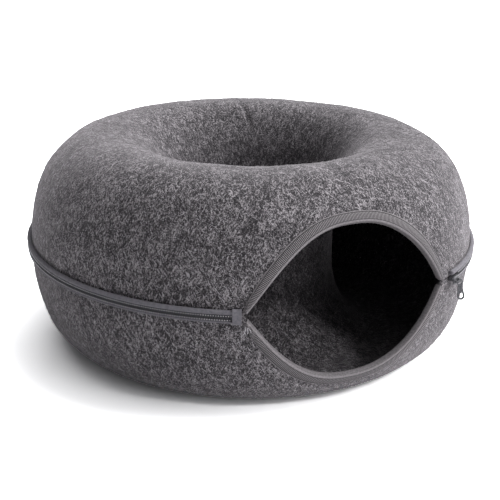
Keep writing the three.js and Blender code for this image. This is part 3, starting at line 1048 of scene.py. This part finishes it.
lay(tab, over_zip)
weld(tab)
end_patch = piece_from(tab, "zip_end_patch", zip_tape, "zip_tape", "zip_end_tab")
patch_cloth = end_patch.modifiers.new("tape thickness", "SOLIDIFY")
patch_cloth.thickness = TAB_THICKNESS
patch_cloth.offset = -1

# ---------------------------------------------------------------------------------------------
# The slider, at the entrance's right corner: a zinc casting with a domed plate on a neck between
# the tapes, and a bridge over it that carries the pull. Dark lacquer covers both.

SLIDER_ANGLE = 31.0
SLIDER_SAG = 0.0036
NECK_RISE = 0.0022
SLIDER_LENGTH = 0.013
SLIDER_WIDTH = 0.009
PLATE_BASE = 0.00565
PLATE_THICKNESS = 0.0016
PLATE_ROUND = 0.0006
PLATE_SQUARENESS = 0.8
PLATE_NARROWING = 0.28
NECK_LENGTH = 0.011
NECK_WIDTH = 0.0046
EDGE_ROUND = 0.0004
BRIDGE_HALF_LENGTH = 0.0052
BRIDGE_WIDTH = 0.0024
BRIDGE_WIRE = 0.0016
BRIDGE_TOP = 0.0114
BRIDGE_ROUND = 0.0007

zip_seat = (
    Matrix.Translation((ring_middle.x, ring_middle.y, 0))
    @ Matrix.Rotation(math.radians(SLIDER_ANGLE), 4, "Z")
    @ Matrix.Translation((0, -RING_RADIUS, ZIP_HEIGHT - SLIDER_SAG))
    @ Matrix.Rotation(math.pi / 2, 4, "X")
)


def lacquer_finish():
    """Dark lacquer on cast zinc: satin, with the grey metal showing faintly where it rubs."""
    dark = (0.35, (0.06, 0.06, 0.066))
    pale = (0.7, (0.15, 0.15, 0.163))
    material, rubbed, shader = mottled_finish("dark_metal", 700.0, 3.0, dark, pale, metallic=0.6)
    relief = rubbed.node("Bump", None, {"Height": rubbed, "Strength": 0.15, "Distance": 0.0001})
    feed(shader, "Roughness", rubbed * 0.25 + 0.25)
    feed(shader, "Normal", relief)
    return material


dark_metal = lacquer_finish()


def plate_mesh(name, outlines, thickness, rounding):
    """A flat plate with rounded edges, cut to closed outlines: the first is its rim."""
    curve = bpy.data.curves.new(name, "CURVE")
    curve.dimensions = "2D"
    curve.fill_mode = "BOTH"
    curve.extrude = thickness / 2 - rounding
    curve.bevel_depth = rounding
    curve.bevel_resolution = 3
    curve.offset = -rounding
    for outline in outlines:
        spline = curve.splines.new("POLY")
        spline.points.add(len(outline) - 1)
        for point, (x, y) in zip(spline.points, outline):
            point.co = (x, y, 0, 1)
        spline.use_cyclic_u = True
    holder = in_scene(name, curve)
    bpy.context.view_layer.update()
    flat = bmesh.new()
    mesh = bpy.data.meshes.new_from_object(
        holder.evaluated_get(bpy.context.evaluated_depsgraph_get()),
    )
    flat.from_mesh(mesh)
    bpy.data.objects.remove(holder)
    bpy.data.curves.remove(curve)
    bpy.data.meshes.remove(mesh)
    bmesh.ops.remove_doubles(flat, verts=flat.verts, dist=WELD_DISTANCE)
    return flat


def arc(centre, radius, start, end, steps=12):
    """Points on an arc, in degrees anticlockwise from +x."""
    turns = np.radians(np.linspace(start, end, steps))
    return [(centre[0] + radius * math.cos(t), centre[1] + radius * math.sin(t)) for t in turns]


def slider_rim(steps=40):
    """The plate's rim: blunt at the closed side of the zip and rounder at the other."""
    rim = []
    for turn in np.linspace(0, 2 * math.pi, steps, endpoint=False):
        x, y = math.cos(turn), math.sin(turn)
        narrow = 1 - PLATE_NARROWING * max(-x, 0)
        rim.append((
            SLIDER_LENGTH / 2 * math.copysign(abs(x) ** PLATE_SQUARENESS, x),
            SLIDER_WIDTH / 2 * narrow * math.copysign(abs(y) ** PLATE_SQUARENESS, y),
        ))
    return rim


def block(bm, size, middle, rounding):
    """A rounded block, which joins the casting."""
    corners = bmesh.ops.create_cube(bm, size=1)["verts"]
    bmesh.ops.scale(bm, verts=corners, vec=size)
    bmesh.ops.translate(bm, verts=corners, vec=middle)
    edges = list({edge for vert in corners for edge in vert.link_edges})
    bmesh.ops.bevel(
        bm, geom=edges, offset=rounding, segments=3, profile=0.5, affect="EDGES", material=-1,
    )


casting = plate_mesh("slider plate", [slider_rim()], PLATE_THICKNESS, PLATE_ROUND)
bmesh.ops.translate(casting, verts=casting.verts, vec=(0, 0, PLATE_BASE + PLATE_THICKNESS / 2))
neck_height = PLATE_BASE - TAPE_SEAT + PLATE_THICKNESS / 2
block(
    casting,
    (NECK_LENGTH, NECK_WIDTH, neck_height),
    (0, NECK_RISE, TAPE_SEAT + neck_height / 2),
    EDGE_ROUND,
)

# The bridge is one bar: up from the plate, round a shoulder, across, round and down again.
bar = bmesh.new()
bridge_foot = PLATE_BASE + PLATE_THICKNESS / 2
shoulder = BRIDGE_TOP - BRIDGE_WIRE - BRIDGE_ROUND
inner = BRIDGE_HALF_LENGTH - BRIDGE_WIRE - BRIDGE_ROUND
end = bmesh.ops.create_grid(bar, x_segments=1, y_segments=1, size=0.5)["verts"]
bmesh.ops.scale(bar, verts=end, vec=(BRIDGE_WIRE, BRIDGE_WIDTH, 1))
bmesh.ops.translate(bar, verts=end, vec=(BRIDGE_HALF_LENGTH - BRIDGE_WIRE / 2, 0, bridge_foot))
front = list(bar.faces)


def push(faces, vec):
    moved = bmesh.ops.extrude_face_region(bar, geom=faces)["geom"]
    verts = [part for part in moved if isinstance(part, bmesh.types.BMVert)]
    bmesh.ops.translate(bar, verts=verts, vec=vec)
    bmesh.ops.delete(bar, geom=faces, context="FACES_ONLY")
    return [part for part in moved if isinstance(part, bmesh.types.BMFace)]


def bend(faces, centre):
    moved = bmesh.ops.spin(
        bar, geom=faces, cent=centre, axis=(0, -1, 0), angle=math.pi / 2, steps=5,
        use_duplicate=False,
    )["geom_last"]
    bmesh.ops.delete(bar, geom=faces, context="FACES_ONLY")
    return [part for part in moved if isinstance(part, bmesh.types.BMFace)]


front = push(front, (0, 0, shoulder - bridge_foot))
front = bend(front, (inner, 0, shoulder))
front = push(front, (-2 * inner, 0, 0))
front = bend(front, (-inner, 0, shoulder))
push(front, (0, 0, bridge_foot - shoulder))
weld(bar)
long_edges = [edge for edge in bar.edges if edge.calc_face_angle(0) > math.radians(60)]
bmesh.ops.bevel(
    bar, geom=long_edges, offset=EDGE_ROUND, segments=3, profile=0.5, affect="EDGES", material=-1,
)
close_ends(bar)
join_to(casting, bar)
bmesh.ops.recalc_face_normals(casting, faces=casting.faces)
bmesh.ops.transform(casting, matrix=zip_seat, verts=casting.verts)
piece_from(casting, "zip_slider", dark_metal, "dark_metal", "slider")

# ---------------------------------------------------------------------------------------------
# The pull: a flat tab cast from the same zinc, with an eye for the bridge, a slot in its round
# end and two raised ribs down its neck on each face. It hangs from the bridge, turned a little.

PULL_THICKNESS = 0.0014
PULL_TOP_HALF_WIDTH = 0.0033
PULL_NECK_HALF_WIDTH = 0.0025
PULL_END_RADIUS = 0.0041
PULL_DROP = 0.0215
PULL_ROUND = 0.00035
PULL_TURN = 40
PULL_LEAN = -9
EYE_HALF_WIDTH = 0.0022
EYE_HEIGHT = 0.005
EYE_WALL = 0.0013
SLOT_RADIUS = 0.0018
SLOT_LENGTH = 0.0022
RIB_SIZE = (0.0006, 0.0005)
RIB_ASIDE = 0.0011
RIB_ROUND = 0.00015
RIB_TOP_GAP = 0.0004
RIB_SLOT_GAP = 0.0008

eye_top = BRIDGE_WIDTH / 2 + TAPE_SEAT
end_middle = PULL_END_RADIUS - PULL_DROP
neck_top = eye_top - EYE_HEIGHT - EYE_WALL


def stadium(half_width, bottom, top):
    low = arc((0, bottom + half_width), half_width, 180, 360)
    high = arc((0, top - half_width), half_width, 0, 180)
    return low + high


pull_rim = (
    arc((0, eye_top - EYE_HALF_WIDTH), PULL_TOP_HALF_WIDTH, 0, 180)
    + [(-PULL_NECK_HALF_WIDTH, neck_top)]
    + arc((0, end_middle), PULL_END_RADIUS, 180, 360)
    + [(PULL_NECK_HALF_WIDTH, neck_top)]
)
slot_bottom = end_middle - SLOT_RADIUS
slot_top = slot_bottom + SLOT_LENGTH + 2 * SLOT_RADIUS
pull = plate_mesh(
    "pull plate",
    [
        pull_rim,
        stadium(EYE_HALF_WIDTH, eye_top - EYE_HEIGHT, eye_top),
        stadium(SLOT_RADIUS, slot_bottom, slot_top),
    ],
    PULL_THICKNESS,
    PULL_ROUND,
)
rib_top = neck_top - RIB_TOP_GAP
rib_bottom = slot_top + RIB_SLOT_GAP
for side in (-1, 1):
    for x in (-RIB_ASIDE, RIB_ASIDE):
        block(
            pull,
            (RIB_SIZE[0], rib_top - rib_bottom, RIB_SIZE[1]),
            (x, (rib_top + rib_bottom) / 2, side * PULL_THICKNESS / 2),
            RIB_ROUND,
        )
bmesh.ops.recalc_face_normals(pull, faces=pull.faces)
hung = (
    zip_seat
    @ Matrix.Translation((0, 0, BRIDGE_TOP - BRIDGE_WIRE / 2))
    @ Matrix.Rotation(math.radians(90 + PULL_TURN), 4, "Y")
    @ Matrix.Rotation(math.radians(PULL_LEAN), 4, "Z")
)
bmesh.ops.transform(pull, matrix=hung, verts=pull.verts)
piece_from(pull, "zip_pull", dark_metal, "dark_metal", "pull_tab")

# ---------------------------------------------------------------------------------------------
# The sewing of the bindings: one row of lockstitch in dark polyester thread on each, through the
# tape and the felt, near the tape's outer edge.

STITCH_PITCH = 0.003
STITCH_LENGTH = 0.0024
STITCH_THREAD = 0.00022
STITCH_ACROSS = 0.86
STITCH_LIFT = OUTER - 0.0003


def dark_thread_finish():
    """Nearly black polyester thread, a little uneven in shade."""
    dark = (0.3, (0.018, 0.017, 0.019))
    pale = (0.7, (0.045, 0.043, 0.047))
    looks = {"sheen": 0.1, "specular": 0.3}
    material, _, shader = mottled_finish("dark_thread", 600.0, 1.0, dark, pale, **looks)
    feed(shader, "Roughness", 0.7)
    return material


dark_thread = dark_thread_finish()


def sewing(name, half):
    route = binding_route(half)
    length = route.length[-1]
    count = round(length / STITCH_PITCH)
    stitch = bmesh.new()
    bmesh.ops.create_uvsphere(stitch, u_segments=8, v_segments=6, radius=1)
    bmesh.ops.rotate(
        stitch, verts=stitch.verts, cent=(0, 0, 0), matrix=Matrix.Rotation(math.pi / 2, 3, "Y"),
    )
    bmesh.ops.scale(
        stitch, verts=stitch.verts, vec=(STITCH_LENGTH / 2, STITCH_THREAD, STITCH_THREAD),
    )
    bmesh.ops.translate(stitch, verts=stitch.verts, vec=(STITCH_PITCH / 2, 0, 0))
    row = in_a_row(stitch, count, length / count)

    def sew(x, y, z):
        angle = np.interp(x, route.length, route.angle)
        across = STITCH_ACROSS + y / binding_width(half, angle)
        return on_binding(half, route, x, across, STITCH_LIFT + z)

    lay(row, sew)
    piece_from(row, name, dark_thread, "ribbed_tape")


sewing("sewing_arch", upper)
sewing("sewing_dip", lower)

# ---------------------------------------------------------------------------------------------
# The seam between the halves, round the inside of the hole's wall: the two felt edges butt
# together and slanting overcast stitches of dark thread hold them.

SEAM_STITCHES = 150
SEAM_STITCH_LENGTH = 0.0062
SEAM_THREAD = 0.0003
SEAM_SLANT = math.radians(28)

seam_stitch = bmesh.new()
bmesh.ops.create_uvsphere(seam_stitch, u_segments=8, v_segments=6, radius=1)
bmesh.ops.scale(
    seam_stitch,
    verts=seam_stitch.verts,
    vec=(SEAM_THREAD, SEAM_THREAD, SEAM_STITCH_LENGTH / 2),
)
bmesh.ops.rotate(
    seam_stitch,
    verts=seam_stitch.verts,
    cent=(0, 0, 0),
    matrix=Matrix.Rotation(SEAM_SLANT, 3, "Y"),
)
seam_radius = HOLE_RADIUS + FELT_THICKNESS
seam_row = in_a_row(seam_stitch, SEAM_STITCHES, 2 * math.pi * seam_radius / SEAM_STITCHES)


def round_seam(x, y, z):
    return round_ring(np.degrees(x / seam_radius), seam_radius + y, SEAM_HEIGHT + z)


lay(seam_row, round_seam)
piece_from(seam_row, "seam_sewing", dark_thread, "felt")

# ---------------------------------------------------------------------------------------------
# Thread ends at the entrance's left corner, where the lower binding's sewing was cut off: a few
# pale ends of polyester thread that stand away from the felt.

THREAD_ENDS = [
    # start angle, start height below the zip, end angle, end height below the zip, bow
    (334.05, 0.0072, 333.6, 0.0178, 0.0020),
    (334.25, 0.0080, 334.5, 0.0165, 0.0028),
    (334.45, 0.0090, 335.3, 0.0150, 0.0016),
]
THREAD_RADIUS = 0.00028
THREAD_STEPS = 12
THREAD_LIFT = 0.0012
THREAD_RISE = 0.001
THREAD_SWAY = 0.25

thread_ends = bmesh.new()
for start_angle, start_drop, end_angle, end_drop, bow in THREAD_ENDS:
    share = np.linspace(0, 1, THREAD_STEPS)
    arched = np.sin(share * math.pi)
    line = on_zip(
        start_angle + (end_angle - start_angle) * share + arched * THREAD_SWAY,
        -start_drop - (end_drop - start_drop) * share,
        THREAD_LIFT + bow * arched + THREAD_RISE * share,
    )
    ring = bmesh.ops.create_circle(thread_ends, segments=6, radius=THREAD_RADIUS)["verts"]
    bmesh.ops.translate(thread_ends, verts=ring, vec=line[0])
    draw_out(thread_ends, list({edge for vert in ring for edge in vert.link_edges}), line)
close_ends(thread_ends)
piece_from(thread_ends, "thread_ends", pale_thread, "ribbed_tape")

# ---------------------------------------------------------------------------------------------
# Loose fibres of the felt: single pale polyester fibres that the needles left lying on the
# outside, each a few millimetres long, bowed, and caught in the felt at both ends.

FIBRES_ON_A_HALF = 2400
FIBRE_SPACING = 0.02
FIBRE_RADIUS = 0.00015
FIBRE_STEPS = 6
FIBRE_SHORTEST = 0.003
FIBRE_LONGEST = 0.010
FIBRE_BOW = 0.22
FIBRE_RISE = 0.0004
FIBRE_LEAN = 0.2
FIBRE_SPREAD = 0.9
BESIDE_DOOR = 30


def fibre_finish():
    """Pale matt polyester that differs a little from fibre to fibre."""
    dark = (0.3, (0.16, 0.151, 0.160))
    pale = (0.7, (0.56, 0.535, 0.56))
    looks = {"sheen": 0.2, "specular": 0.2}
    material, _, shader = mottled_finish("pale_fibre", 160.0, 0.0, dark, pale, **looks)
    feed(shader, "Roughness", 0.8)
    return material


pale_fibre = fibre_finish()


def loose_fibres(name, half, seed, first_run, last_run):
    chance = np.random.default_rng(seed)
    fibre = bmesh.new()
    bmesh.ops.create_circle(fibre, segments=3, radius=FIBRE_RADIUS)
    bmesh.ops.rotate(
        fibre, verts=fibre.verts, cent=(0, 0, 0), matrix=Matrix.Rotation(math.pi / 2, 3, "Y"),
    )
    step = FIBRE_SPACING / 2 / FIBRE_STEPS
    draw_out(fibre, list(fibre.edges), [(step * at, 0, 0) for at in range(FIBRE_STEPS + 1)])
    close_ends(fibre)
    count = FIBRES_ON_A_HALF
    row = in_a_row(fibre, count, FIBRE_SPACING)
    middle_angle = chance.uniform(0, 360, count)
    middle_run = chance.uniform(first_run, last_run, count)
    beside = np.abs((middle_angle + 180) % 360 - 180)
    clear = edge_run(half, np.minimum(beside, DOOR_HALF_ANGLE)) + binding_width(half, beside)
    past_door = np.maximum(middle_run, clear + FIBRE_LONGEST)
    middle_run = np.where(beside < BESIDE_DOOR, past_door, middle_run)
    lean = chance.normal(FIBRE_LEAN, FIBRE_SPREAD, count)
    reach = chance.uniform(FIBRE_SHORTEST, FIBRE_LONGEST, count)
    bow = chance.uniform(-FIBRE_BOW, FIBRE_BOW, count)

    def strew(x, y, z):
        which = np.clip((x / FIBRE_SPACING + 0.25).astype(int), 0, count - 1)
        share = (x - which * FIBRE_SPACING) / (FIBRE_SPACING / 2) - 0.5
        along = share * reach[which]
        aside = (0.25 - share ** 2) * 4 * bow[which] * reach[which] + y
        turn = lean[which]
        run = middle_run[which] + along * np.cos(turn) - aside * np.sin(turn)
        sideways = along * np.sin(turn) + aside * np.cos(turn)
        radius = np.interp(run, half.run, half.line[:, 0])
        angle = middle_angle[which] + np.degrees(sideways / radius)
        lift = slump(half, angle, run) + (1 - 8 * share ** 2) * FIBRE_RISE + z
        return on_felt(half, angle, run, lift)

    lay(row, strew)
    piece_from(row, name, pale_fibre, "felt")


loose_fibres("loose_fibres_above", upper, seed=11, first_run=0.016, last_run=0.25)
loose_fibres("loose_fibres_below", lower, seed=12, first_run=0.014, last_run=0.12)
